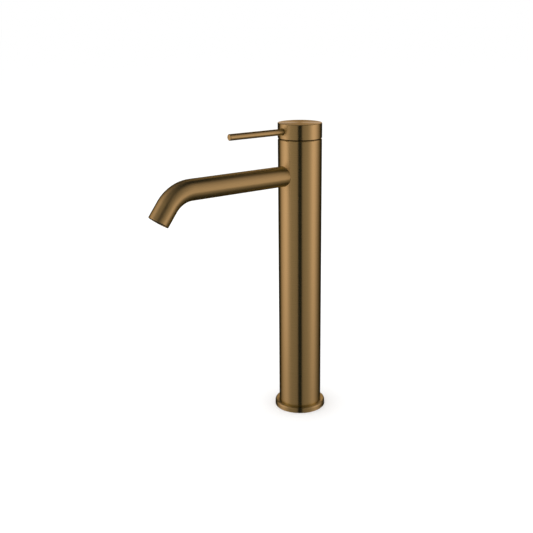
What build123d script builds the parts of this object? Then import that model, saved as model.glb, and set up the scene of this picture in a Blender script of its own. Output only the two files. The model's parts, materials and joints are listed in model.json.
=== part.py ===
from build123d import *
import math
import os

# A tall single-lever basin mixer. Millimetres, +Z up.
# The origin is on the column axis in the plane of the deck. The spout and the lever point along -Y.

# Column
column_radius = 22.5
column_bore = 20.0
column_top = 294.0
column_rim_chamfer = 1.4
press_gap = 0.05

# How far a cutting shape runs past the face it cuts
overrun = 1.0

# Base flange, gasket and foot
flange_radius = 27.0
flange_height = 5.9
flange_rounding = 1.9
gasket_inner = 23.8
gasket_outer = 25.8
gasket_height = 1.4
foot_height = 20.0
foot_seal_low = 9.0
foot_seal_height = 2.4
foot_seal_inner = 18.2
hose_thread_radius = 4.46
hose_thread_depth = 11.0
foot_port_radius = 2.6
stud_thread_radius = 3.32
stud_thread_depth = 14.0
stud_y = 10.0

# Supply risers
riser_radius = 4.0
riser_bore = 3.0
riser_x = 8.0
riser_y = -4.4
riser_low = 14.5
riser_high = 249.5
riser_socket_low = 14.0
riser_socket_high = 250.0
riser_seal_radius = 5.2
riser_seal_height = 1.8
riser_seal_levels = (16.5, 243.0)

# Spout
spout_z = 256.75
spout_radius = 10.4
spout_bore = 9.0
spout_root_y = -18.05
spout_straight_y = -130.0
bend_radius = 32.0
bend_angle = 53.8
outlet_leg = 16.5
outlet_chamfer = 0.4
nipple_inner_end_y = -10.5
nipple_outer_end_y = -36.0
nipple_tail_radius = 6.95
nipple_bore = 4.5
spout_seal_y = -12.8
spout_seal_width = 1.6
spout_seal_inner = 5.8
lock_screw_y = -15.8
lock_screw_radius = 1.95
lock_screw_low = 241.8
lock_screw_hex = 1.25
lock_screw_hex_depth = 2.6

# Aerator, measured inward from the outlet plane
aerator_radius = 8.95
aerator_bore = 7.2
aerator_lip = 6.6
aerator_recess = 0.8
aerator_lip_end = 2.0
aerator_end = 13.0
screen_radius = 7.15
screen_end = 4.4
screen_hole = 0.5
screen_pitch = 1.4
screen_rows = 4
regulator_start = 6.5
regulator_end = 9.3
regulator_slot = 0.8
regulator_ring = 5.0
regulator_slots = 10
aerator_seal_inner = 6.6
aerator_seal_end = 15.0

# Valve block
block_low = 240.0
block_high = 292.5
seat_z = 265.5
chamber_radius = 14.1
nut_bore = 17.5
waterway_radius = 2.5

# Cartridge
housing_radius = 14.0
housing_bore = 12.0
housing_plate_low = 284.5
housing_top = 286.0
housing_opening = 9.6
inlet_x = 5.2
inlet_y = -3.6
inlet_radius = 1.9
outlet_y = 5.6
outlet_radius = 2.3
base_top = 268.3
peg_x = 9.3
peg_y = 5.2
peg_radius = 1.2
peg_depth = 2.0
seal_depth = 1.2
seal_width = 1.2
fixed_disc_top = 270.9
moving_disc_top = 273.3
moving_disc_radius = 9.4
moving_disc_y = 1.15
disc_film = 0.03
pocket_half_width = 6.2
pocket_front_y = -1.2
pocket_rear_y = 7.2
pocket_depth = 1.2
carrier_top = 275.9
carrier_radius = 9.0
carrier_half_width = 8.0
carrier_socket = 2.3
stop_ring_top = 287.6
stop_ring_inner = 9.65
stop_ring_outer = 11.2
stop_ring_gap = 7.0
nut_radius = 17.4
nut_opening = 11.5
nut_top = 291.5
nut_notches = 6
nut_notch_width = 4.0
nut_notch_depth = 1.8
nut_notch_inner = 15.0

# Rotor, pin and spindle
pivot_z = 281.2
rotor_low = 276.4
rotor_shoulder = 284.3
rotor_radius = 11.8
rotor_neck_radius = 9.3
rotor_top = 290.0
rotor_slot_half = 4.2
rotor_slot_front = -4.7
rotor_slot_rear = 8.1
guide_inner = 8.2
guide_outer = 10.2
guide_half_length = 4.0
guide_low = 274.0
pin_radius = 1.25
pin_half_length = 9.5
pin_clearance = 0.05
spindle_half = 4.0
spindle_top = 304.6
finger_neck_radius = 1.5
finger_radius = 2.2
finger_z = 274.6
finger_end = 273.8

# Dome ring, a spherical zone about the pivot
dome_radius = 24.3
dome_inner = 22.2
dome_low = 292.6
dome_opening = 17.0

# Handle cap and lever
cap_radius = 22.6
cap_low = 295.4
cap_top = 309.6
cap_bore = 21.1
cap_ceiling = 306.0
cap_top_rounding = 0.6
cap_low_chamfer = 0.3
cap_bore_chamfer = 0.5
cap_boss_radius = 8.0
cap_boss_low = 296.8
cap_socket_half = 4.05
cap_socket_top = 305.0
lever_z = 301.8
lever_radius = 3.2
lever_tip_y = -86.0
lever_tip_rounding = 0.8
lever_shoulder_y = -20.5
lever_tail_radius = 2.5
lever_tail_y = -4.1
lever_hole = 3.6
grub_radius = 2.45
grub_outer_y = 9.6
grub_hex = 1.45
grub_hex_depth = 2.6
grub_access = 2.6


# Shared shapes

def upright(radius, low, high, x=0.0, y=0.0):
    blank = Cylinder(radius, high - low, align=(Align.CENTER, Align.CENTER, Align.MIN))
    return Pos(x, y, low) * blank


def lengthwise(radius, front, rear, z, x=0.0):
    blank = Cylinder(radius, rear - front, align=(Align.CENTER, Align.CENTER, Align.MIN))
    return Pos(x, front, z) * Rot(-90, 0, 0) * blank


def crosswise(radius, half_length, z):
    return Pos(0, 0, z) * Rot(0, 90, 0) * Cylinder(radius, 2 * half_length)


def ring(outer, inner, low, high, x=0.0, y=0.0):
    return upright(outer, low, high, x, y) - upright(inner, low, high, x, y)


def block(x_low, x_high, y_low, y_high, z_low, z_high):
    blank = Box(x_high - x_low, y_high - y_low, z_high - z_low, align=(Align.MIN, Align.MIN, Align.MIN))
    return Pos(x_low, y_low, z_low) * blank


def turned(points):
    outline = Polyline(*points, close=True)
    return revolve(Plane.XZ * make_face(outline), axis=Axis.Z)


def hexagon(radius, depth):
    return extrude(RegularPolygon(radius, 6), depth)


# Fixed body

def make_column_tube():
    tube = turned([
        (column_bore, 0),
        (column_radius, 0),
        (column_radius, column_top - column_rim_chamfer),
        (column_radius - column_rim_chamfer, column_top),
        (column_bore, column_top),
    ])
    return tube - lengthwise(spout_radius + press_gap, -column_radius - overrun, -column_bore / 2, spout_z)


def make_base_flange():
    plate = upright(flange_radius, 0, flange_height)
    rim = plate.edges().filter_by(GeomType.CIRCLE).sort_by(Axis.Z)[-1]
    plate = fillet(rim, flange_rounding)
    plate -= upright(column_radius + press_gap, -overrun, flange_height + overrun)
    return plate - ring(gasket_outer, gasket_inner, -overrun, gasket_height)


def make_base_gasket():
    return ring(gasket_outer - press_gap, gasket_inner + press_gap, 0, gasket_height)


def make_foot_plug():
    plug = upright(column_bore - press_gap, 0, foot_height)
    plug -= ring(column_bore, foot_seal_inner, foot_seal_low, foot_seal_low + foot_seal_height)
    for x in (-riser_x, riser_x):
        plug -= upright(hose_thread_radius, -overrun, hose_thread_depth, x, riser_y)
        port_low = hose_thread_depth - overrun
        plug -= upright(foot_port_radius, port_low, riser_socket_low + overrun, x, riser_y)
        plug -= upright(riser_radius + press_gap, riser_socket_low, foot_height + overrun, x, riser_y)
        plug -= riser_seal_groove(x, riser_seal_levels[0])
    return plug - upright(stud_thread_radius, -overrun, stud_thread_depth, 0, stud_y)


def make_foot_seal():
    low = foot_seal_low + press_gap
    high = foot_seal_low + foot_seal_height - press_gap
    return ring(column_bore - press_gap / 2, foot_seal_inner + press_gap, low, high)


def riser_seal_groove(x, level):
    return upright(riser_seal_radius, level, level + riser_seal_height, x, riser_y)


def make_riser(x):
    return ring(riser_radius, riser_bore, riser_low, riser_high, x, riser_y)


def make_riser_seals():
    seals = []
    for x in (-riser_x, riser_x):
        for level in riser_seal_levels:
            low = level + press_gap
            high = level + riser_seal_height - press_gap
            outer = riser_seal_radius - press_gap
            seals.append(ring(outer, riser_radius + press_gap / 2, low, high, x, riser_y))
    return Compound(children=seals)


def make_valve_block():
    body = upright(column_bore - press_gap, block_low, block_high)
    body -= upright(nut_bore, housing_top, block_high + overrun)
    body -= upright(chamber_radius, seat_z, housing_top + overrun)
    peg_low = seat_z - peg_depth - press_gap
    for side in (-1, 1):
        riser = side * riser_x
        body -= upright(riser_radius + press_gap, block_low - overrun, riser_socket_high, riser, riser_y)
        body -= riser_seal_groove(riser, riser_seal_levels[1])
        port_low = riser_socket_high - overrun
        body -= upright(inlet_radius, port_low, seat_z + overrun, side * inlet_x, inlet_y)
        body -= upright(peg_radius + press_gap, peg_low, seat_z + overrun, side * peg_x, peg_y)
    body -= upright(outlet_radius, spout_z, seat_z + overrun, 0, outlet_y)
    body -= lengthwise(waterway_radius, nipple_inner_end_y - overrun, outlet_y + waterway_radius, spout_z)
    tail_hole = nipple_tail_radius + press_gap
    body -= lengthwise(tail_hole, -column_bore - overrun, nipple_inner_end_y + press_gap, spout_z)
    body -= lengthwise(spout_radius + press_gap, -column_bore - overrun, spout_root_y + press_gap, spout_z)
    return body - upright(lock_screw_radius + press_gap, block_low - overrun, spout_z, 0, lock_screw_y)


# Spout and aerator

def spout_path():
    turn = math.radians(bend_angle)
    half = turn / 2
    start = (0, spout_root_y, spout_z)
    bend_start = (0, spout_straight_y, spout_z)
    bend_middle = (
        0,
        spout_straight_y - bend_radius * math.sin(half),
        spout_z - bend_radius * (1 - math.cos(half)),
    )
    bend_end = (
        0,
        spout_straight_y - bend_radius * math.sin(turn),
        spout_z - bend_radius * (1 - math.cos(turn)),
    )
    outlet = (
        0,
        bend_end[1] - outlet_leg * math.cos(turn),
        bend_end[2] - outlet_leg * math.sin(turn),
    )
    return Wire([
        Edge.make_line(start, bend_start),
        Edge.make_three_point_arc(bend_start, bend_middle, bend_end),
        Edge.make_line(bend_end, outlet),
    ])


def outlet_plane():
    turn = math.radians(bend_angle)
    inward = (0, math.cos(turn), math.sin(turn))
    return Plane(origin=spout_path() @ 1, x_dir=(1, 0, 0), z_dir=inward)


def make_spout_tube():
    path = spout_path()
    section = Plane(origin=path @ 0, x_dir=(1, 0, 0), z_dir=(0, -1, 0))
    tube = sweep(section * Circle(spout_radius), path=path)
    tube -= sweep(section * Circle(spout_bore), path=path)
    circles = tube.edges().filter_by(GeomType.CIRCLE)
    outer = [edge for edge in circles if abs(edge.radius - spout_radius) < press_gap]
    rim = min(outer, key=lambda edge: (edge.arc_center - path @ 1).length)
    return chamfer(rim, outlet_chamfer)


def make_spout_nipple():
    sleeve = lengthwise(spout_bore - press_gap, nipple_outer_end_y, spout_root_y, spout_z)
    sleeve += lengthwise(nipple_tail_radius, spout_root_y - overrun, nipple_inner_end_y, spout_z)
    groove_end = spout_seal_y + spout_seal_width
    groove = lengthwise(spout_bore, spout_seal_y, groove_end, spout_z)
    groove -= lengthwise(spout_seal_inner, spout_seal_y, groove_end, spout_z)
    sleeve -= groove
    bore_front = nipple_outer_end_y - overrun
    return sleeve - lengthwise(nipple_bore, bore_front, nipple_inner_end_y + overrun, spout_z)


def make_spout_seal():
    front = spout_seal_y + press_gap
    rear = spout_seal_y + spout_seal_width - press_gap
    seal = lengthwise(nipple_tail_radius + press_gap / 2, front, rear, spout_z)
    return seal - lengthwise(spout_seal_inner + press_gap, front, rear, spout_z)


def make_spout_lock_screw():
    high = spout_z - nipple_tail_radius - press_gap
    screw = upright(lock_screw_radius, lock_screw_low, high, 0, lock_screw_y)
    return screw - Pos(0, lock_screw_y, lock_screw_low) * hexagon(lock_screw_hex, lock_screw_hex_depth)


def make_aerator_housing():
    shell = ring(aerator_radius, aerator_bore, aerator_recess, aerator_end)
    shell += ring(aerator_radius, aerator_lip, aerator_recess, aerator_lip_end)
    return outlet_plane() * shell


def make_aerator_screen():
    screen = upright(screen_radius, aerator_lip_end, screen_end)
    row_height = screen_pitch * math.sqrt(3) / 2
    holes = []
    for row in range(-screen_rows, screen_rows + 1):
        count = 2 * screen_rows + 1 - abs(row)
        for column in range(count):
            x = (column - (count - 1) / 2) * screen_pitch
            y = row * row_height
            holes.append(upright(screen_hole, aerator_lip_end - overrun, screen_end + overrun, x, y))
    return outlet_plane() * (screen - holes)


def make_flow_regulator():
    disc = upright(screen_radius, regulator_start, regulator_end)
    holes = []
    for slot in range(regulator_slots):
        turn = 2 * math.pi * slot / regulator_slots
        x = regulator_ring * math.cos(turn)
        y = regulator_ring * math.sin(turn)
        holes.append(upright(regulator_slot, regulator_start - overrun, regulator_end + overrun, x, y))
    return outlet_plane() * (disc - holes)


def make_aerator_seal():
    low = aerator_end + press_gap
    return outlet_plane() * ring(aerator_radius, aerator_seal_inner, low, aerator_seal_end)


# Cartridge

def port_holes(low, high):
    holes = [upright(inlet_radius, low, high, x, inlet_y) for x in (-inlet_x, inlet_x)]
    holes.append(upright(outlet_radius, low, high, 0, outlet_y))
    return holes


def make_cartridge_housing():
    return turned([
        (housing_bore, seat_z),
        (housing_radius, seat_z),
        (housing_radius, housing_top),
        (housing_opening, housing_top),
        (housing_opening, housing_plate_low),
        (housing_bore, housing_plate_low),
    ])


def make_cartridge_base():
    base = upright(housing_bore - press_gap, seat_z, base_top)
    for x in (-peg_x, peg_x):
        base += upright(peg_radius, seat_z - peg_depth, seat_z + seal_depth, x, peg_y)
    base -= port_holes(seat_z - overrun, base_top + overrun)
    for x in (-inlet_x, inlet_x):
        base -= upright(inlet_radius + seal_width, seat_z - overrun, seat_z + seal_depth, x, inlet_y)
    return base - upright(outlet_radius + seal_width, seat_z - overrun, seat_z + seal_depth, 0, outlet_y)


def port_seal(radius, x, y):
    low = seat_z + press_gap / 2
    outer = radius + seal_width - press_gap
    return ring(outer, radius + press_gap, low, seat_z + seal_depth, x, y)


def make_port_seals():
    seals = [port_seal(inlet_radius, x, inlet_y) for x in (-inlet_x, inlet_x)]
    seals.append(port_seal(outlet_radius, 0, outlet_y))
    return Compound(children=seals)


def make_fixed_disc():
    disc = upright(housing_bore - 2 * press_gap, base_top, fixed_disc_top)
    return disc - port_holes(base_top - overrun, fixed_disc_top + overrun)


def make_stop_ring():
    hoop = ring(stop_ring_outer, stop_ring_inner, housing_top, stop_ring_top)
    half = stop_ring_gap / 2
    reach = stop_ring_outer + overrun
    return hoop - block(-half, half, 0, reach, housing_top - overrun, stop_ring_top + overrun)


def make_cartridge_nut():
    nut = ring(nut_radius, nut_opening, housing_top, nut_top)
    half = nut_notch_width / 2
    low = nut_top - nut_notch_depth
    notch = block(nut_notch_inner, nut_radius + overrun, -half, half, low, nut_top + overrun)
    for turn in range(nut_notches):
        nut -= Rot(0, 0, 360 * turn / nut_notches) * notch
    return nut


def make_dome_ring():
    dome = Pos(0, 0, pivot_z) * Sphere(dome_radius)
    dome -= Pos(0, 0, pivot_z) * Sphere(dome_inner)
    above = upright(dome_radius + overrun, column_top, pivot_z + dome_radius + overrun)
    mouth = upright(column_bore - 2 * press_gap, dome_low, column_top)
    dome = dome & (above + mouth)
    return dome - upright(dome_opening, dome_low - overrun, pivot_z + dome_radius + overrun)


# Moving parts

def make_lever_rotor():
    rotor = upright(rotor_radius, rotor_low, rotor_shoulder)
    rotor += upright(rotor_neck_radius, rotor_low, rotor_top)
    length = guide_half_length
    guide = block(guide_inner, guide_outer, -length, length, guide_low, rotor_low + overrun)
    rotor += guide
    rotor += mirror(guide, about=Plane.YZ)
    half = rotor_slot_half
    rotor -= block(-half, half, rotor_slot_front, rotor_slot_rear, rotor_low - overrun, rotor_top + overrun)
    rotor -= block(-half, half, rotor_slot_front, rotor_radius, rotor_shoulder, rotor_top + overrun)
    return rotor - crosswise(pin_radius + pin_clearance / 2, pin_half_length, pivot_z)


def make_pivot_pin():
    return crosswise(pin_radius, pin_half_length - press_gap, pivot_z)


def make_moving_disc():
    low = fixed_disc_top + disc_film
    disc = upright(moving_disc_radius, low, moving_disc_top, 0, moving_disc_y)
    half = pocket_half_width
    return disc - block(-half, half, pocket_front_y, pocket_rear_y, low - overrun, low + pocket_depth)


def make_disc_carrier():
    carrier = upright(carrier_radius, moving_disc_top, carrier_top, 0, moving_disc_y)
    half = carrier_half_width
    reach = 2 * carrier_radius
    carrier = carrier & block(-half, half, -reach, reach, moving_disc_top, carrier_top)
    return carrier - upright(carrier_socket, moving_disc_top - overrun, carrier_top + overrun)


def make_spindle():
    half = spindle_half
    spindle = block(-half, half, -half, half, pivot_z, spindle_top)
    spindle += crosswise(spindle_half, spindle_half, pivot_z)
    spindle += upright(finger_neck_radius, finger_z, pivot_z)
    tip = Pos(0, 0, finger_z) * Sphere(finger_radius)
    spindle += tip & upright(finger_radius + overrun, finger_end, finger_z + finger_radius)
    return spindle - crosswise(pin_radius + pin_clearance, spindle_half + overrun, pivot_z)


def make_handle_cap():
    cap = upright(cap_radius, cap_low, cap_top)
    rims = cap.edges().filter_by(GeomType.CIRCLE).sort_by(Axis.Z)
    cap = fillet(rims[-1], cap_top_rounding)
    rims = cap.edges().filter_by(GeomType.CIRCLE).sort_by(Axis.Z)
    cap = chamfer(rims[0], cap_low_chamfer)
    cap -= turned([
        (0, cap_low - overrun),
        (cap_bore + cap_bore_chamfer + overrun, cap_low - overrun),
        (cap_bore, cap_low + cap_bore_chamfer),
        (cap_bore, cap_ceiling),
        (0, cap_ceiling),
    ])
    cap += upright(cap_boss_radius, cap_boss_low, cap_ceiling + overrun)
    half = cap_socket_half
    cap -= block(-half, half, -half, half, cap_boss_low - overrun, cap_socket_top)
    cap -= lengthwise(lever_hole, -cap_radius - overrun, -cap_bore + overrun, lever_z)
    cap -= lengthwise(lever_tail_radius + press_gap, -cap_bore, 0, lever_z)
    cap -= lengthwise(grub_radius + press_gap, 0, cap_boss_radius + overrun, lever_z)
    return cap - lengthwise(grub_access, cap_bore - overrun, cap_radius + overrun, lever_z)


def make_lever_rod():
    rod = lengthwise(lever_radius, lever_tip_y, lever_shoulder_y, lever_z)
    tip = rod.edges().filter_by(GeomType.CIRCLE).sort_by(Axis.Y)[0]
    rod = fillet(tip, lever_tip_rounding)
    return rod + lengthwise(lever_tail_radius, lever_shoulder_y - overrun, lever_tail_y, lever_z)


def make_handle_grub_screw():
    screw = lengthwise(grub_radius, -lever_tail_y, grub_outer_y, lever_z)
    key = Pos(0, grub_outer_y, lever_z) * Rot(90, 0, 0) * hexagon(grub_hex, grub_hex_depth)
    return screw - key


os.makedirs("parts", exist_ok=True)

export_step(make_column_tube(), "parts/column_tube.step")
export_step(make_base_flange(), "parts/base_flange.step")
export_step(make_base_gasket(), "parts/base_gasket.step")
export_step(make_foot_plug(), "parts/foot_plug.step")
export_step(make_foot_seal(), "parts/foot_seal.step")
export_step(make_riser(-riser_x), "parts/hot_riser.step")
export_step(make_riser(riser_x), "parts/cold_riser.step")
export_step(make_riser_seals(), "parts/riser_seals.step")
export_step(make_valve_block(), "parts/valve_block.step")
export_step(make_spout_tube(), "parts/spout_tube.step")
export_step(make_spout_nipple(), "parts/spout_nipple.step")
export_step(make_spout_seal(), "parts/spout_seal.step")
export_step(make_spout_lock_screw(), "parts/spout_lock_screw.step")
export_step(make_aerator_housing(), "parts/aerator_housing.step")
export_step(make_aerator_screen(), "parts/aerator_screen.step")
export_step(make_flow_regulator(), "parts/flow_regulator.step")
export_step(make_aerator_seal(), "parts/aerator_seal.step")
export_step(make_cartridge_housing(), "parts/cartridge_housing.step")
export_step(make_cartridge_base(), "parts/cartridge_base.step")
export_step(make_port_seals(), "parts/port_seals.step")
export_step(make_fixed_disc(), "parts/fixed_disc.step")
export_step(make_stop_ring(), "parts/stop_ring.step")
export_step(make_cartridge_nut(), "parts/cartridge_nut.step")
export_step(make_dome_ring(), "parts/dome_ring.step")
export_step(make_lever_rotor(), "parts/lever_rotor.step")
export_step(make_pivot_pin(), "parts/pivot_pin.step")
export_step(make_moving_disc(), "parts/moving_disc.step")
export_step(make_disc_carrier(), "parts/disc_carrier.step")
export_step(make_spindle(), "parts/spindle.step")
export_step(make_handle_cap(), "parts/handle_cap.step")
export_step(make_lever_rod(), "parts/lever_rod.step")
export_step(make_handle_grub_screw(), "parts/handle_grub_screw.step")
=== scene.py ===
import bpy
import json
import math
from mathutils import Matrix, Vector


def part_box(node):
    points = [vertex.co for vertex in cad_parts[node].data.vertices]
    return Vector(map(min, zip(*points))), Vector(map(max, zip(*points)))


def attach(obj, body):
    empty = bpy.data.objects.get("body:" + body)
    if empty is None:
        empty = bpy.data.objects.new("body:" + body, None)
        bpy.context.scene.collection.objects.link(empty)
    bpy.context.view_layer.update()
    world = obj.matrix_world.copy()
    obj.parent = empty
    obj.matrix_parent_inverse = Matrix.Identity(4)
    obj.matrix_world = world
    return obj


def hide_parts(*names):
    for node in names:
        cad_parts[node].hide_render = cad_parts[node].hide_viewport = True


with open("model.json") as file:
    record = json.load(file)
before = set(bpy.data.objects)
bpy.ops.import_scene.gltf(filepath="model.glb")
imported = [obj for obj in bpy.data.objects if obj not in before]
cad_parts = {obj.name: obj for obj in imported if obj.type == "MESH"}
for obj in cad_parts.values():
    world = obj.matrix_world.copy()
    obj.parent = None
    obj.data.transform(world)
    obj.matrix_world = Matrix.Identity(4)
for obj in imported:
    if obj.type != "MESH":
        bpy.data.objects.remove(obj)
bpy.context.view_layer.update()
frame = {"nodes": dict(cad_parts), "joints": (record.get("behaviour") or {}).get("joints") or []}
nodes = frame["nodes"]


# Column
# A length of brass tube, faced at both ends and rounded at the rim, with one hole in its side for the
# spout. It is brushed round on the lathe and then plated in bronze.
MM = 0.001
FULL_TURN = 2 * math.pi
TOUCHING = 0.002 * MM
column_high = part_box("column_tube")[1]
column_radius = column_high.x
column_top = column_high.z
column_bore = 20.0 * MM
column_rounding = 2.0 * MM
rim_steps = 8
spout_hole_gap = 0.12 * MM
edge_break = 0.12 * MM
sharp_angle = math.radians(40)
smooth_angle = math.radians(30)
face_lines = 1.3


def turn(name, outline, centre=Vector((0, 0, 0)), axis=Vector((0, 0, 1)), steps=192):
    """Spins an outline of (radius, distance along the axis) points into a turned piece."""
    bpy.ops.object.select_all(action="DESELECT")
    bpy.ops.mesh.primitive_plane_add(size=MM)
    piece = bpy.context.object
    piece.name = name
    points = [centre + Vector((radius, 0, 0)) + axis * along for radius, along in outline]
    bpy.ops.object.mode_set(mode="EDIT")
    bpy.ops.mesh.select_mode(type="VERT")
    bpy.ops.mesh.select_all(action="SELECT")
    bpy.ops.mesh.merge(type="CENTER")
    bpy.ops.transform.translate(value=points[0])
    for last, point in zip(points, points[1:]):
        bpy.ops.mesh.extrude_vertices_move(TRANSFORM_OT_translate={"value": point - last})
    bpy.ops.mesh.select_all(action="SELECT")
    bpy.ops.mesh.spin(steps=steps, angle=FULL_TURN, center=centre, axis=axis)
    bpy.ops.mesh.select_all(action="SELECT")
    bpy.ops.mesh.remove_doubles(threshold=TOUCHING)
    bpy.ops.mesh.normals_make_consistent(inside=False)
    bpy.ops.object.mode_set(mode="OBJECT")
    return piece


def apply_modifier(piece, kind, **settings):
    """Adds one modifier, sets it and applies it."""
    modifier = piece.modifiers.new(kind.lower(), kind)
    for setting, value in settings.items():
        setattr(modifier, setting, value)
    bpy.context.view_layer.objects.active = piece
    bpy.ops.object.modifier_apply(modifier=modifier.name)


def soften(piece):
    """Breaks every sharp edge, as a polishing wheel does."""
    where = {"limit_method": "ANGLE", "angle_limit": sharp_angle}
    apply_modifier(piece, "BEVEL", width=edge_break, segments=2, **where)


def clean(piece):
    """Merges doubled points and drops the slivers that a cut leaves."""
    bpy.ops.object.select_all(action="DESELECT")
    bpy.context.view_layer.objects.active = piece
    bpy.ops.object.mode_set(mode="EDIT")
    bpy.ops.mesh.select_mode(type="VERT")
    bpy.ops.mesh.select_all(action="SELECT")
    bpy.ops.mesh.remove_doubles(threshold=TOUCHING)
    bpy.ops.mesh.dissolve_degenerate(threshold=TOUCHING)
    bpy.ops.object.mode_set(mode="OBJECT")


def cut(piece, radius, start, end, sides=128):
    """Drills a round hole between two points."""
    run = end - start
    bpy.ops.object.select_all(action="DESELECT")
    bpy.ops.mesh.primitive_cylinder_add(vertices=sides, radius=radius, depth=run.length)
    drill = bpy.context.object
    drill.rotation_mode = "QUATERNION"
    drill.rotation_quaternion = run.to_track_quat("Z", "Y")
    drill.location = (start + end) / 2
    bpy.context.view_layer.update()
    apply_modifier(piece, "BOOLEAN", object=drill, operation="DIFFERENCE", solver="EXACT")
    bpy.data.objects.remove(drill)
    clean(piece)


def smooth(piece):
    """Shades round faces smooth, keeps edges crisp and lets large faces lead beside small ones."""
    bpy.ops.object.select_all(action="DESELECT")
    piece.select_set(True)
    bpy.context.view_layer.objects.active = piece
    bpy.ops.object.shade_smooth_by_angle(angle=smooth_angle)
    apply_modifier(piece, "WEIGHTED_NORMAL", keep_sharp=True)


def brush(piece, across, way, lines_per_metre=3500, slow=45):
    """Stores where each point lies across the brush lines, and which way they run, for the finish."""
    lay = piece.data.attributes.new("brush", "FLOAT_VECTOR", "POINT")
    run = piece.data.attributes.new("brush_way", "FLOAT_VECTOR", "POINT")
    for vertex in piece.data.vertices:
        place = vertex.co
        lay.data[vertex.index].vector = (place.x * slow, place.y * slow, across(place) * lines_per_metre)
        run.data[vertex.index].vector = way(place)


def across_lathe(place):
    """Distance across the lines of a piece that was brushed while it turned about the column's axis."""
    return place.z + face_lines * math.hypot(place.x, place.y)


def round_lathe(place):
    """Way that those lines run."""
    return Vector((-place.y, place.x, 0)).normalized()


def add_node(material, kind, **settings):
    """Adds one shader node and sets it."""
    node = material.node_tree.nodes.new("ShaderNode" + kind)
    for setting, value in settings.items():
        setattr(node, setting, value)
    return node


def new_finish(name):
    """Starts a material, and gives it with its shader and its link maker."""
    finish = bpy.data.materials.new(name)
    finish.use_nodes = True
    return finish, finish.node_tree.nodes["Principled BSDF"], finish.node_tree.links.new


def colour_range(material, low, high):
    """A ramp from one colour to a second, driven by a pattern."""
    ramp = add_node(material, "ValToRGB")
    ramp.color_ramp.elements[0].color = (*low, 1)
    ramp.color_ramp.elements[1].color = (*high, 1)
    return ramp


def number_range(material, low, high):
    """A pattern from 0 to 1 stretched over a range of numbers."""
    spread = add_node(material, "MapRange")
    spread.inputs["To Min"].default_value = low
    spread.inputs["To Max"].default_value = high
    return spread


bronze_edge = (0.68, 0.53, 0.34, 1)
bronze_tones = (0.485, 0.296, 0.131), (0.515, 0.314, 0.141)
# Painted reflection tone: a paler olive that the bronze shows only where another piece mirrors it, which
# tints the shade in seams.
painted_reflection_tones = (0.58, 0.55, 0.28), (0.62, 0.58, 0.30)
tone_patches = 22.0
line_relief = 0.02
line_depth = 0.02 * MM
quarter_turn = 0.25
MIX_SHARE, MIX_FIRST, MIX_SECOND, MIX_COLOUR = 0, 6, 7, 2


def make_brushed_bronze(name, rough_low, rough_high, stretch):
    """Bronze plating over brushed brass: fine lines in the gloss and a faint drift in the tone.

    The gloss is stretched across the lines. In another piece's reflections the bronze is painted a paler
    olive, a painted reflection tone that tints the shade in seams and at the spout's root.
    """
    finish, metal, link = new_finish(name)
    metal.inputs["Metallic"].default_value = 1.0
    metal.inputs["Specular Tint"].default_value = bronze_edge
    lay = add_node(finish, "Attribute", attribute_name="brush")
    lines = add_node(finish, "TexNoise")
    lines.inputs["Scale"].default_value = 1.0
    lines.inputs["Detail"].default_value = 3.0
    lines.inputs["Roughness"].default_value = 0.65
    link(lay.outputs["Vector"], lines.inputs["Vector"])
    gloss = number_range(finish, rough_low, rough_high)
    link(lines.outputs["Fac"], gloss.inputs["Value"])
    link(gloss.outputs["Result"], metal.inputs["Roughness"])
    metal.inputs["Anisotropic"].default_value = stretch
    metal.inputs["Anisotropic Rotation"].default_value = quarter_turn
    run = add_node(finish, "Attribute", attribute_name="brush_way")
    turned = {"vector_type": "VECTOR", "convert_from": "OBJECT", "convert_to": "WORLD"}
    follow = add_node(finish, "VectorTransform", **turned)
    link(run.outputs["Vector"], follow.inputs["Vector"])
    link(follow.outputs["Vector"], metal.inputs["Tangent"])
    relief = add_node(finish, "Bump")
    relief.inputs["Strength"].default_value = line_relief
    relief.inputs["Distance"].default_value = line_depth
    link(lines.outputs["Fac"], relief.inputs["Height"])
    link(relief.outputs["Normal"], metal.inputs["Normal"])
    place = add_node(finish, "TexCoord")
    drift = add_node(finish, "TexNoise")
    drift.inputs["Scale"].default_value = tone_patches
    drift.inputs["Detail"].default_value = 2.0
    link(place.outputs["Object"], drift.inputs["Vector"])
    tone = colour_range(finish, *bronze_tones)
    link(drift.outputs["Fac"], tone.inputs["Fac"])
    olive = colour_range(finish, *painted_reflection_tones)
    link(drift.outputs["Fac"], olive.inputs["Fac"])
    # Painted reflection tone: rays reflected off other pieces get the olive in place of the bronze tone.
    reflected_ray = add_node(finish, "LightPath")
    shade = add_node(finish, "Mix", data_type="RGBA")
    link(reflected_ray.outputs["Is Glossy Ray"], shade.inputs[MIX_SHARE])
    link(tone.outputs["Color"], shade.inputs[MIX_FIRST])
    link(olive.outputs["Color"], shade.inputs[MIX_SECOND])
    link(shade.outputs[MIX_COLOUR], metal.inputs["Base Color"])
    return finish


def dress(piece, finish, slot, body, *replaced):
    """Gives a finished piece its material, its body and the solids that it stands for."""
    piece.data.materials.clear()
    piece.data.materials.append(finish)
    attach(piece, body)
    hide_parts(*replaced)


def paint(finish, *names):
    """Gives solids that stay as they are their finish."""
    for name in names:
        nodes[name].material_slots[0].material = finish


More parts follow.
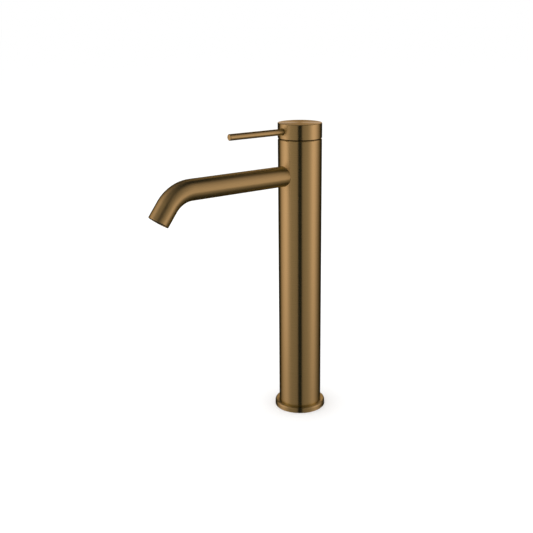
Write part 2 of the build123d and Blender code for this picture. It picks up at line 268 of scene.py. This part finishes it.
brushed_bronze = make_brushed_bronze("brushed_bronze", rough_low=0.26, rough_high=0.30, stretch=0.93)
spout_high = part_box("spout_tube")[1]
spout_radius = spout_high.x
spout_axis_z = spout_high.z - spout_radius
hole_radius = spout_radius + spout_hole_gap
ring_gap = MM
rings_low = spout_axis_z - hole_radius - 2 * ring_gap
ring_count = round(2 * (hole_radius + 2 * ring_gap) / ring_gap)
column_outline = [(column_bore, 0), (column_radius, 0)]
for ring in range(ring_count + 1):
    column_outline.append((column_radius, rings_low + ring * ring_gap))
for step in range(rim_steps + 1):
    angle = math.pi / 2 * step / rim_steps
    inset = column_rounding * (1 - math.cos(angle))
    column_outline.append((column_radius - inset, column_top - column_rounding * (1 - math.sin(angle))))
column_outline += [(column_bore, column_top), (column_bore, 0)]
column = turn("column", column_outline, steps=256)
soften(column)
hole_start = Vector((0, -2 * column_radius, spout_axis_z))
hole_end = Vector((0, -column_bore / 2, spout_axis_z))
cut(column, hole_radius, hole_start, hole_end)
smooth(column)
brush(column, across_lathe, round_lathe)
dress(column, brushed_bronze, "bronze", "fixed_body", "column_tube")


# Foot plug, risers and valve block
# Bare brass parts inside the column: the plug that takes the hoses and the stud, two tubes up the
# column, and the block that holds the cartridge and the spout. All are machined, and the cutter's fine
# lines still show.
cutter_lines = (90, 90, 2600)
brass_tones = (0.58, 0.41, 0.17), (0.68, 0.50, 0.23)
brass_gloss = (0.2, 0.38)


def make_machined_brass():
    finish, metal, link = new_finish("machined_brass")
    metal.inputs["Metallic"].default_value = 1.0
    place = add_node(finish, "TexCoord")
    stretch = add_node(finish, "Mapping")
    stretch.inputs["Scale"].default_value = cutter_lines
    link(place.outputs["Object"], stretch.inputs["Vector"])
    marks = add_node(finish, "TexNoise")
    marks.inputs["Scale"].default_value = 1.0
    marks.inputs["Detail"].default_value = 2.0
    link(stretch.outputs["Vector"], marks.inputs["Vector"])
    gloss = number_range(finish, *brass_gloss)
    link(marks.outputs["Fac"], gloss.inputs["Value"])
    link(gloss.outputs["Result"], metal.inputs["Roughness"])
    tone = colour_range(finish, *brass_tones)
    link(marks.outputs["Fac"], tone.inputs["Fac"])
    link(tone.outputs["Color"], metal.inputs["Base Color"])
    return finish


machined_brass = make_machined_brass()
paint(machined_brass, "foot_plug", "hot_riser", "cold_riser", "valve_block")


# Rubber seals of the foot and the risers
# Black rubber rings, moulded, that sit in grooves in the brass. They are squeezed when the pieces go
# together, and keep the water in.
rubber_tones = (0.012, 0.012, 0.012), (0.026, 0.026, 0.027)
rubber_gloss = (0.5, 0.72)
rubber_grain = 700.0


def make_black_rubber():
    finish, rubber, link = new_finish("black_rubber")
    rubber.inputs["Specular IOR Level"].default_value = 0.35
    place = add_node(finish, "TexCoord")
    bloom = add_node(finish, "TexNoise")
    bloom.inputs["Scale"].default_value = rubber_grain
    bloom.inputs["Detail"].default_value = 3.0
    link(place.outputs["Object"], bloom.inputs["Vector"])
    gloss = number_range(finish, *rubber_gloss)
    link(bloom.outputs["Fac"], gloss.inputs["Value"])
    link(gloss.outputs["Result"], rubber.inputs["Roughness"])
    tone = colour_range(finish, *rubber_tones)
    link(bloom.outputs["Fac"], tone.inputs["Fac"])
    link(tone.outputs["Color"], rubber.inputs["Base Color"])
    return finish


black_rubber = make_black_rubber()
paint(black_rubber, "foot_seal", "riser_seals")


# Base flange and gasket
# A turned brass ring that covers the edge of the deck hole, rounded at its outer rim. It is brushed a
# little coarser than the column and bronze plated. A rubber ring lies in a groove in its underside.
flange_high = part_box("base_flange")[1]
flange_radius = flange_high.x
flange_height = flange_high.z
flange_rounding = 1.9 * MM
flange_gap = 0.05 * MM
flange_bore = column_radius + flange_gap
gasket_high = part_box("base_gasket")[1]
gasket_gap = 0.05 * MM
groove_width = 2.0 * MM
groove_outer = gasket_high.x + gasket_gap
groove_inner = groove_outer - groove_width


def round_ring(piece, radius, height, size, segments=8):
    """Rounds the edge that runs round a turned piece at one radius and height."""
    bpy.ops.object.select_all(action="DESELECT")
    bpy.context.view_layer.objects.active = piece
    bpy.ops.object.mode_set(mode="EDIT")
    bpy.ops.mesh.select_mode(type="EDGE")
    bpy.ops.mesh.select_all(action="DESELECT")
    bpy.ops.object.mode_set(mode="OBJECT")
    corners = piece.data.vertices

    def on_ring(index):
        place = corners[index].co
        flat = math.hypot(place.x, place.y)
        return abs(flat - radius) < TOUCHING and abs(place.z - height) < TOUCHING

    for edge in piece.data.edges:
        edge.select = on_ring(edge.vertices[0]) and on_ring(edge.vertices[1])
    bpy.ops.object.mode_set(mode="EDIT")
    bpy.ops.mesh.bevel(offset=size, segments=segments, affect="EDGES")
    bpy.ops.object.mode_set(mode="OBJECT")


flange = turn("flange", [
    (flange_bore, 0),
    (groove_inner, 0),
    (groove_inner, gasket_high.z),
    (groove_outer, gasket_high.z),
    (groove_outer, 0),
    (flange_radius, 0),
    (flange_radius, flange_height),
    (flange_bore, flange_height),
    (flange_bore, 0),
])
round_ring(flange, flange_radius, flange_height, flange_rounding)
soften(flange)
smooth(flange)
brush(flange, across_lathe, round_lathe)
coarse_bronze = make_brushed_bronze("coarse_bronze", rough_low=0.285, rough_high=0.325, stretch=1.0)
dress(flange, coarse_bronze, "bronze", "fixed_body", "base_flange")
paint(black_rubber, "base_gasket")


# Spout
# A straight brass tube with one bend near its end, cut square at the outlet and broken at the edge. It
# is brushed round before it is bent, as coarse as the flange, and plated. A brass nipple, with a rubber
# ring and a steel screw, holds it in the block.
bend_angle = math.radians(53.8)
bend_radius = 32.0 * MM
bend_start_y = -130.0 * MM
outlet_leg = 16.5 * MM
spout_wall = 1.4 * MM
outlet_chamfer = 0.4 * MM
spout_sides = 128
straight_steps = 16
bend_steps = 40
leg_steps = 4
spout_root = Vector((0, spout_high.y, spout_axis_z))
bend_centre = Vector((0, bend_start_y, spout_axis_z - bend_radius))
outlet_way = Vector((0, -math.cos(bend_angle), -math.sin(bend_angle)))
bend_end = bend_centre + Vector((0, -math.sin(bend_angle), math.cos(bend_angle))) * bend_radius
outlet_centre = bend_end + outlet_way * outlet_leg

bpy.ops.object.select_all(action="DESELECT")
bpy.ops.mesh.primitive_circle_add(vertices=spout_sides, radius=spout_radius)
spout = bpy.context.object
spout.name = "spout"
bpy.ops.object.mode_set(mode="EDIT")
bpy.ops.mesh.select_mode(type="VERT")
bpy.ops.mesh.select_all(action="SELECT")
bpy.ops.transform.rotate(value=math.pi / 2, orient_axis="X", center_override=(0, 0, 0))
bpy.ops.transform.translate(value=spout_root)
straight_step = Vector((0, bend_start_y - spout_root.y, 0)) / straight_steps
for step in range(straight_steps):
    bpy.ops.mesh.extrude_region_move(TRANSFORM_OT_translate={"value": straight_step})
bpy.ops.mesh.spin(steps=bend_steps, angle=bend_angle, center=bend_centre, axis=(-1, 0, 0))
for step in range(leg_steps):
    bpy.ops.mesh.extrude_region_move(TRANSFORM_OT_translate={"value": outlet_way * outlet_leg / leg_steps})
bpy.ops.mesh.select_all(action="SELECT")
bpy.ops.mesh.remove_doubles(threshold=TOUCHING)
bpy.ops.mesh.normals_make_consistent(inside=False)
bpy.ops.object.mode_set(mode="OBJECT")
apply_modifier(spout, "SOLIDIFY", thickness=spout_wall, offset=-1, use_even_offset=True)


def at_outlet_rim(place):
    """Whether a point lies on the outer edge of the outlet."""
    away = place - outlet_centre
    return abs(away.dot(outlet_way)) < TOUCHING and abs(away.length - spout_radius) < TOUCHING


bpy.ops.object.mode_set(mode="EDIT")
bpy.ops.mesh.select_mode(type="EDGE")
bpy.ops.mesh.select_all(action="DESELECT")
bpy.ops.object.mode_set(mode="OBJECT")
for edge in spout.data.edges:
    ends = [spout.data.vertices[index].co for index in edge.vertices]
    edge.select = at_outlet_rim(ends[0]) and at_outlet_rim(ends[1])
bpy.ops.object.mode_set(mode="EDIT")
bpy.ops.mesh.bevel(offset=outlet_chamfer, segments=1, affect="EDGES")
bpy.ops.object.mode_set(mode="OBJECT")
smooth(spout)


def along_spout(place):
    """Distance along the spout's centre line."""
    straight = spout_root.y - bend_start_y
    if place.y > bend_start_y:
        return spout_root.y - place.y
    away = place - bend_centre
    turned = math.atan2(-away.y, away.z)
    if turned < bend_angle:
        return straight + bend_radius * turned
    return straight + bend_radius * bend_angle + (place - bend_end).dot(outlet_way)


def round_spout(place):
    """Way that the lines run round the spout."""
    turned = 0.0
    centre = Vector((0, place.y, spout_axis_z))
    if place.y < bend_start_y:
        away = place - bend_centre
        turned = min(math.atan2(-away.y, away.z), bend_angle)
        centre = bend_centre + Vector((0, -math.sin(turned), math.cos(turned))) * bend_radius
    heading = Vector((0, -math.cos(turned), -math.sin(turned)))
    outward = place - centre
    outward -= heading * outward.dot(heading)
    return heading.cross(outward).normalized()


brush(spout, along_spout, round_spout)
dress(spout, coarse_bronze, "bronze", "fixed_body", "spout_tube")
# The column doesn't mirror the spout, which keeps its long highlights clean.
spout.visible_glossy = False


# Screws and pins
# Small turned steel pieces: the spout's lock screw, the cap's grub screw and the pin that the spindle
# tilts on. The lock screw holds the spout's brass nipple, which has a rubber ring on its tail.
steel_tones = (0.47, 0.47, 0.48), (0.60, 0.60, 0.61)
steel_gloss = (0.22, 0.4)
steel_grain = 1500.0


def make_turned_steel():
    finish, metal, link = new_finish("turned_steel")
    metal.inputs["Metallic"].default_value = 1.0
    place = add_node(finish, "TexCoord")
    marks = add_node(finish, "TexNoise")
    marks.inputs["Scale"].default_value = steel_grain
    link(place.outputs["Object"], marks.inputs["Vector"])
    gloss = number_range(finish, *steel_gloss)
    link(marks.outputs["Fac"], gloss.inputs["Value"])
    link(gloss.outputs["Result"], metal.inputs["Roughness"])
    tone = colour_range(finish, *steel_tones)
    link(marks.outputs["Fac"], tone.inputs["Fac"])
    link(tone.outputs["Color"], metal.inputs["Base Color"])
    return finish


turned_steel = make_turned_steel()
paint(machined_brass, "spout_nipple")
paint(black_rubber, "spout_seal")
paint(turned_steel, "spout_lock_screw", "handle_grub_screw", "pivot_pin")


# Aerator
# A black moulded case pressed into the outlet, with a grid at its mouth, a disc of jets inside and a
# rubber washer behind it. It mixes air into the water.
plastic_grain = 420.0


def make_plastic(name, low, high, rough_low, rough_high):
    """Moulded plastic: a fine grain in its gloss and tone."""
    finish, plastic, link = new_finish(name)
    place = add_node(finish, "TexCoord")
    grain = add_node(finish, "TexNoise")
    grain.inputs["Scale"].default_value = plastic_grain
    grain.inputs["Detail"].default_value = 4.0
    link(place.outputs["Object"], grain.inputs["Vector"])
    gloss = number_range(finish, rough_low, rough_high)
    link(grain.outputs["Fac"], gloss.inputs["Value"])
    link(gloss.outputs["Result"], plastic.inputs["Roughness"])
    tone = colour_range(finish, low, high)
    link(grain.outputs["Fac"], tone.inputs["Fac"])
    link(tone.outputs["Color"], plastic.inputs["Base Color"])
    return finish


dark_plastic = make_plastic("dark_plastic", (0.016, 0.016, 0.016), (0.035, 0.034, 0.033), 0.38, 0.55)
paint(dark_plastic, "aerator_housing", "aerator_screen", "flow_regulator")
paint(black_rubber, "aerator_seal")


# Cartridge
# Two lapped ceramic discs in a white acetal case. The lower one is fixed over the three ports, and the
# upper one slides and turns with a carrier, a rotor and a brass spindle. A red split ring limits the
# heat, and a brass ring nut clamps the case.
white_plastic = make_plastic("white_plastic", (0.72, 0.72, 0.68), (0.82, 0.82, 0.78), 0.35, 0.5)
red_plastic = make_plastic("red_plastic", (0.40, 0.030, 0.024), (0.50, 0.045, 0.034), 0.35, 0.5)
ceramic = make_plastic("lapped_ceramic", (0.79, 0.76, 0.70), (0.86, 0.83, 0.77), 0.12, 0.2)
paint(white_plastic, "cartridge_housing", "cartridge_base", "lever_rotor", "disc_carrier")
paint(black_rubber, "port_seals")
paint(ceramic, "fixed_disc", "moving_disc")
paint(red_plastic, "stop_ring")
paint(machined_brass, "spindle", "cartridge_nut")


# Dome ring
# A thin domed ring in the column's mouth, bronze plated, that closes the gap under the cap when the
# lever is lifted. Its dome is round about the pivot pin, so the cap keeps the same distance from it.
dome_low_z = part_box("dome_ring")[0].z
pivot_z = frame["joints"][0]["pos_m"][2]
dome_radius = 24.3 * MM
dome_inner = 22.2 * MM
dome_opening = 17.0 * MM
dome_gap = 0.1 * MM
dome_mouth = column_bore - dome_gap
dome_steps = 12


def dome_arc(radius, start, end):
    """Points on a circle about the pivot, from one height above it to the next."""
    first = math.asin(start / radius)
    last = math.asin(end / radius)
    arc = []
    for step in range(dome_steps + 1):
        angle = first + (last - first) * step / dome_steps
        arc.append((radius * math.cos(angle), pivot_z + radius * math.sin(angle)))
    return arc


dome_outline = [(dome_mouth, dome_low_z), (dome_mouth, column_top)]
dome_crown = math.sqrt(dome_radius ** 2 - dome_opening ** 2)
dome_ceiling = math.sqrt(dome_inner ** 2 - dome_opening ** 2)
dome_outline += dome_arc(dome_radius, column_top - pivot_z, dome_crown)
dome_outline += dome_arc(dome_inner, dome_ceiling, dome_low_z - pivot_z)
dome_outline.append(dome_outline[0])
dome = turn("dome", dome_outline)
smooth(dome)
brush(dome, across_lathe, round_lathe)
dress(dome, brushed_bronze, "bronze", "fixed_body", "dome_ring")


# Cap
# A turned brass cap over the spindle, bronze plated and hollow below, with a boss for the spindle's
# square, a hole in front for the lever and a small one behind for the grub screw. Its top is flat, with
# a softly rounded rim, and its thin skirt hangs low, which keeps the gap over the column narrow.
cap_low, cap_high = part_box("handle_cap")
cap_radius = cap_high.x
cap_bore = 21.55 * MM
# The skirt's lip passes just outside the column's rounded rim when the lever is lifted.
cap_drop = 0.85 * MM
cap_skirt = cap_low.z - cap_drop
cap_ceiling = 306.0 * MM
cap_boss_radius = 8.0 * MM
cap_boss_low = 296.8 * MM
cap_rounding = 0.6 * MM
lever_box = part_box("lever_rod")
lever_radius = lever_box[1].x
lever_z = lever_box[1].z - lever_radius
lever_hole = 3.6 * MM
grub_hole = 2.6 * MM
socket_half = 4.05 * MM
socket_top = 305.0 * MM
cap_ring_gap = 0.8 * MM
top_rings = 10
cap_outline = [(cap_bore, cap_ceiling), (cap_bore, cap_skirt), (cap_radius, cap_skirt)]
ring_z = lever_z - lever_hole - 2 * cap_ring_gap
while ring_z < lever_z + lever_hole + 2 * cap_ring_gap:
    cap_outline.append((cap_radius, ring_z))
    ring_z += cap_ring_gap
for ring in range(top_rings + 1):
    cap_outline.append((cap_radius * (1 - ring / top_rings), cap_high.z))
cap_outline_inside = [
    (0, cap_boss_low),
    (cap_boss_radius, cap_boss_low),
    (cap_boss_radius, cap_ceiling),
    (cap_bore, cap_ceiling),
]
cap = turn("cap", cap_outline + cap_outline_inside)
round_ring(cap, cap_radius, cap_high.z, cap_rounding, segments=5)
soften(cap)
lever_centre = Vector((0, 0, lever_z))
front = Vector((0, -1, 0))
outside = front * 2 * cap_radius
cut(cap, lever_hole, lever_centre + outside, lever_centre + front * cap_boss_radius * 1.5)
cut(cap, grub_hole, lever_centre - outside, lever_centre - front * cap_boss_radius / 2)
bpy.ops.object.select_all(action="DESELECT")
bpy.ops.mesh.primitive_cube_add(size=1)
square = bpy.context.object
square.scale = (2 * socket_half, 2 * socket_half, 2 * (socket_top - cap_boss_low))
square.location = (0, 0, cap_boss_low)
bpy.context.view_layer.update()
apply_modifier(cap, "BOOLEAN", object=square, operation="DIFFERENCE", solver="EXACT")
bpy.data.objects.remove(square)
clean(cap)
smooth(cap)
brush(cap, across_lathe, round_lathe)
dress(cap, brushed_bronze, "bronze", "lever_handle", "handle_cap")


# Lever
# A thin brass rod, bronze plated, turned down for a thread at the end that screws into the cap's boss
# and rounded at its tip. It is brushed round on the lathe.
lever_tip = lever_box[0].y
lever_tail = lever_box[1].y
lever_shoulder = -20.5 * MM
lever_tail_radius = 2.5 * MM
lever_rounding = 0.8 * MM
tip_steps = 6
lever_outline = [(0, lever_tail), (lever_tail_radius, lever_tail), (lever_tail_radius, lever_shoulder)]
lever_outline.append((lever_radius, lever_shoulder))
for step in range(tip_steps + 1):
    angle = math.pi / 2 * step / tip_steps
    out = lever_radius - lever_rounding * (1 - math.cos(angle))
    lever_outline.append((out, lever_tip + lever_rounding * (1 - math.sin(angle))))
lever_outline.append((0, lever_tip))
lever = turn("lever", lever_outline, centre=lever_centre, axis=Vector((0, 1, 0)), steps=96)
soften(lever)
smooth(lever)


def across_lever(place):
    """Distance across the lever's brush lines."""
    return place.y + face_lines * math.hypot(place.x, place.z - lever_z)


def round_lever(place):
    """Way that those lines run."""
    return Vector((place.z - lever_z, 0, -place.x)).normalized()


brush(lever, across_lever, round_lever)
dress(lever, brushed_bronze, "bronze", "lever_handle", "lever_rod")


# Studio floor
# A plain white sweep that the faucet stands on. It takes the soft shadow and stays out of the metal's
# reflections, which come from the light tent.
floor_size = 40
bpy.ops.object.select_all(action="DESELECT")
bpy.ops.mesh.primitive_plane_add(size=floor_size)
floor = bpy.context.object
floor.name = "floor"
floor.visible_glossy = False
white_paper, paper, link = new_finish("white_paper")
paper.inputs["Base Color"].default_value = (1.0, 1.0, 1.0, 1)
paper.inputs["Roughness"].default_value = 0.9
paper.inputs["Specular IOR Level"].default_value = 0.0
floor.data.materials.append(white_paper)


# Light tent
# A cloth cylinder round the set that only the reflections see. The cloth glows at both sides, with a
# brighter strip on each and a wing beside the right one, and dims towards the ground and the roof. It is
# dark at the camera's slit and at the back, which draws the metal's edges, and a faint veil fills the darks.
camera_turn = math.radians(51.764)
# Levels go by bearing from the camera in degrees, right of the picture positive, and by height in metres.
LEFT_CLOTH = [
    (-180, 0.26), (-168, 0.24), (-160, 0.03), (-132, 0.03), (-119, 0.27), (-100, 0.37), (-80, 0.43),
    (-60, 0.45), (-35, 0.44), (-11.4, 0.34), (-8.4, 0.02), (0, 0.02), (1, 0.0),
]
LEFT_CLOTH_RISE = [
    (-2.0, 0.10), (-1.5, 0.26), (-1.1, 0.46), (-0.7, 0.70), (-0.5, 0.81), (-0.3, 0.96), (-0.1, 1.03),
    (0.5, 1.05), (0.8, 1.02), (1.2, 0.84), (1.6, 0.63), (2.0, 0.40), (2.8, 0.17), (4.0, 0.05),
]
RIGHT_CLOTH = [
    (-1, 0.0), (0, 0.02), (9.6, 0.02), (12.6, 0.34), (35, 0.46), (60, 0.48), (80, 0.44), (100, 0.33),
    (122, 0.14), (136, 0.03), (160, 0.03), (168, 0.24), (180, 0.26),
]
RIGHT_CLOTH_RISE = [
    (-2.0, 0.10), (-1.5, 0.28), (-1.1, 0.50), (-0.7, 0.74), (-0.5, 0.84), (-0.3, 1.0), (-0.1, 1.08),
    (0.1, 1.06), (0.5, 0.90), (0.8, 0.80), (1.2, 0.70), (1.6, 0.62), (2.0, 0.38), (2.8, 0.12), (4.0, 0.03),
]
LEFT_STRIP = [
    (-128, 0.0), (-118, 0.25), (-108, 0.41), (-84, 0.72), (-74, 0.66), (-56, 0.18), (-44, 0.0),
]
LEFT_STRIP_RISE = [
    (-1.5, 0.0), (-1.1, 0.06), (-0.9, 0.10), (-0.7, 0.19), (-0.5, 0.42), (-0.4, 0.70), (-0.3, 1.02),
    (-0.15, 1.13), (0.2, 1.02), (0.45, 1.0), (0.8, 0.70), (1.2, 0.38), (2.0, 0.14), (4.0, 0.0),
]
RIGHT_STRIP = [
    (40, 0.0), (52, 0.16), (72, 0.69), (84, 0.62), (96, 0.30), (110, 0.10), (128, 0.0),
]
RIGHT_STRIP_RISE = [
    (-1.5, 0.06), (-1.0, 0.08), (-0.7, 0.08), (-0.5, 0.14), (-0.4, 0.30), (-0.3, 0.62), (-0.2, 0.98),
    (-0.1, 1.12), (0.05, 1.10), (0.3, 1.08), (0.5, 1.0), (0.8, 0.70), (1.2, 0.44), (2.0, 0.16), (4.0, 0.0),
]
RIGHT_WING = [
    (80, 0.0), (92, 0.44), (112, 0.40), (132, 0.0),
]
RIGHT_WING_RISE = [
    (0.0, 0.0), (0.35, 0.8), (0.5, 1.0), (0.9, 0.9), (1.3, 0.62), (1.7, 0.46), (2.3, 0.24), (4.0, 0.0),
]
CLOTH_TINT = (1.0, 1.01, 0.86)
STRIP_TINT = (1.0, 0.955, 0.98)
VEIL_COLOUR = (0.0, 0.011, 0.018, 1)
tent_radius = 1.2
tent_half = 4.0
bpy.ops.object.select_all(action="DESELECT")
bpy.ops.mesh.primitive_cylinder_add(vertices=96, radius=tent_radius, depth=2 * tent_half)
tent = bpy.context.object
tent.name = "light_tent"


def only_reflections_see(thing):
    """Hides a thing from the camera and from the plain light, and lets it cast no shadow."""
    thing.visible_camera = False
    thing.visible_diffuse = False
    thing.visible_shadow = False


only_reflections_see(tent)
tent_cloth, unused, link = new_finish("tent_cloth")
tent_cloth.node_tree.nodes.remove(unused)
place = add_node(tent_cloth, "TexCoord")
face_camera = add_node(tent_cloth, "Mapping")
face_camera.inputs["Rotation"].default_value = (0, 0, math.pi / 2 - camera_turn)
link(place.outputs["Object"], face_camera.inputs["Vector"])
bearing = add_node(tent_cloth, "TexGradient", gradient_type="RADIAL")
link(face_camera.outputs["Vector"], bearing.inputs["Vector"])
axes = add_node(tent_cloth, "SeparateXYZ")
link(place.outputs["Object"], axes.inputs["Vector"])
height = add_node(tent_cloth, "MapRange")
height.inputs["From Min"].default_value = -tent_half
height.inputs["From Max"].default_value = tent_half
link(axes.outputs["Z"], height.inputs["Value"])


def tent_ramp(source, stops, tint=(1.0, 1.0, 1.0)):
    """A ramp of tent levels, driven by the bearing or by the height."""
    ramp = add_node(tent_cloth, "ValToRGB")
    elements = ramp.color_ramp.elements
    elements.remove(elements[1])
    for count, (position, level) in enumerate(stops):
        stop = elements[0] if count == 0 else elements.new(position)
        stop.position = position
        stop.color = (level * tint[0], level * tint[1], level * tint[2], 1)
    link(source, ramp.inputs["Fac"])
    return ramp.outputs["Color"]


def by_bearing(levels, tint):
    stops = [(degrees / 360 + 0.5, level) for degrees, level in levels]
    return tent_ramp(bearing.outputs["Fac"], stops, tint)


def by_height(levels):
    stops = [(rise / tent_half / 2 + 0.5, level) for rise, level in levels]
    return tent_ramp(height.outputs["Result"], stops)


def tent_mix(blend, first, second):
    mix = add_node(tent_cloth, "Mix", data_type="RGBA", blend_type=blend)
    mix.inputs[MIX_SHARE].default_value = 1.0
    link(first, mix.inputs[MIX_FIRST])
    link(second, mix.inputs[MIX_SECOND])
    return mix.outputs[MIX_COLOUR]


def panel(levels, rise, tint):
    """One lit part of the tent: its levels round the set, dimmed by height."""
    return tent_mix("MULTIPLY", by_bearing(levels, tint), by_height(rise))


left_cloth = panel(LEFT_CLOTH, LEFT_CLOTH_RISE, CLOTH_TINT)
right_cloth = panel(RIGHT_CLOTH, RIGHT_CLOTH_RISE, CLOTH_TINT)
left_strip = panel(LEFT_STRIP, LEFT_STRIP_RISE, STRIP_TINT)
right_strip = panel(RIGHT_STRIP, RIGHT_STRIP_RISE, STRIP_TINT)
right_wing = panel(RIGHT_WING, RIGHT_WING_RISE, STRIP_TINT)
cloth = tent_mix("ADD", left_cloth, right_cloth)
strips = tent_mix("ADD", left_strip, tent_mix("ADD", right_strip, right_wing))
shine = add_node(tent_cloth, "Emission")
link(tent_mix("ADD", cloth, strips), shine.inputs["Color"])
veil = add_node(tent_cloth, "Emission")
veil.inputs["Color"].default_value = VEIL_COLOUR
both = add_node(tent_cloth, "AddShader")
link(shine.outputs["Emission"], both.inputs[0])
link(veil.outputs["Emission"], both.inputs[1])
link(both.outputs["Shader"], tent_cloth.node_tree.nodes["Material Output"].inputs["Surface"])
tent_cloth.cycles.emission_sampling = "NONE"
tent.data.materials.append(tent_cloth)


# Board behind the set
# A white board that stands behind the faucet and above it, a little to the right. The flat tops of the
# cap and the flange show it, and only the reflections see it.
board_low = 0.33
board_high = 1.0
board_width = 0.5
board_distance = 1.1
board_side = 0.15
board_level = 0.97
behind = Vector((-math.sin(camera_turn), math.cos(camera_turn), 0))
aside = Vector((math.cos(camera_turn), math.sin(camera_turn), 0))
board_middle = Vector((0, 0, (board_low + board_high) / 2))
bpy.ops.object.select_all(action="DESELECT")
bpy.ops.mesh.primitive_plane_add(size=1)
board = bpy.context.object
board.name = "back_board"
board.scale = (board_width, board_high - board_low, 1)
board.rotation_euler = (math.pi / 2, 0, camera_turn)
board.location = behind * board_distance + aside * board_side + board_middle
only_reflections_see(board)
board_paint, unused, link = new_finish("board_paint")
board_paint.node_tree.nodes.remove(unused)
shine = add_node(board_paint, "Emission")
shine.inputs["Strength"].default_value = board_level
link(shine.outputs["Emission"], board_paint.node_tree.nodes["Material Output"].inputs["Surface"])
board_paint.cycles.emission_sampling = "NONE"
board.data.materials.append(board_paint)


# Lamp, sky and camera
# A large soft lamp overhead gives the shadow a side. The sky is plain white, and the metal sees the
# tent instead. The camera stands where the photograph was taken from.
lamp_size = 2.0
lamp_power = 10.0
lamp_place = (0.0, -0.4, 1.9)
lamp_aim = Vector((0, 0, 0.1))
soft_lamp = bpy.data.lights.new("soft_lamp", "AREA")
soft_lamp.size = lamp_size
soft_lamp.energy = lamp_power
lamp = bpy.data.objects.new("soft_lamp", soft_lamp)
bpy.context.scene.collection.objects.link(lamp)
lamp.location = lamp_place
lamp.rotation_euler = (lamp_aim - lamp.location).to_track_quat("-Z", "Y").to_euler()
lamp.visible_glossy = False
sky = bpy.data.worlds.new("sky")
sky.use_nodes = True
sky.node_tree.nodes["Background"].inputs["Color"].default_value = (1, 1, 1, 1)
sky.node_tree.nodes["Background"].inputs["Strength"].default_value = 1.0
sky.cycles_visibility.glossy = False
bpy.context.scene.world = sky

photo_width = 533
focal_pixels = 827.756
camera_distance = 839.925 * MM
camera_height = 413.229 * MM
camera_pitch = math.radians(15.798)
aim_pixel = (299.889, 250.0)
lens = bpy.data.cameras.new("camera")
lens.sensor_width = 36.0
lens.lens = focal_pixels / photo_width * lens.sensor_width
lens.shift_x = 0.5 - aim_pixel[0] / photo_width
lens.shift_y = aim_pixel[1] / photo_width - 0.5
camera = bpy.data.objects.new("camera", lens)
bpy.context.scene.collection.objects.link(camera)
camera.location = (
    camera_distance * math.sin(camera_turn),
    -camera_distance * math.cos(camera_turn),
    camera_height,
)
camera.rotation_euler = (math.pi / 2 - camera_pitch, 0, camera_turn)
bpy.context.scene.camera = camera
bpy.context.scene.view_settings.view_transform = "Standard"
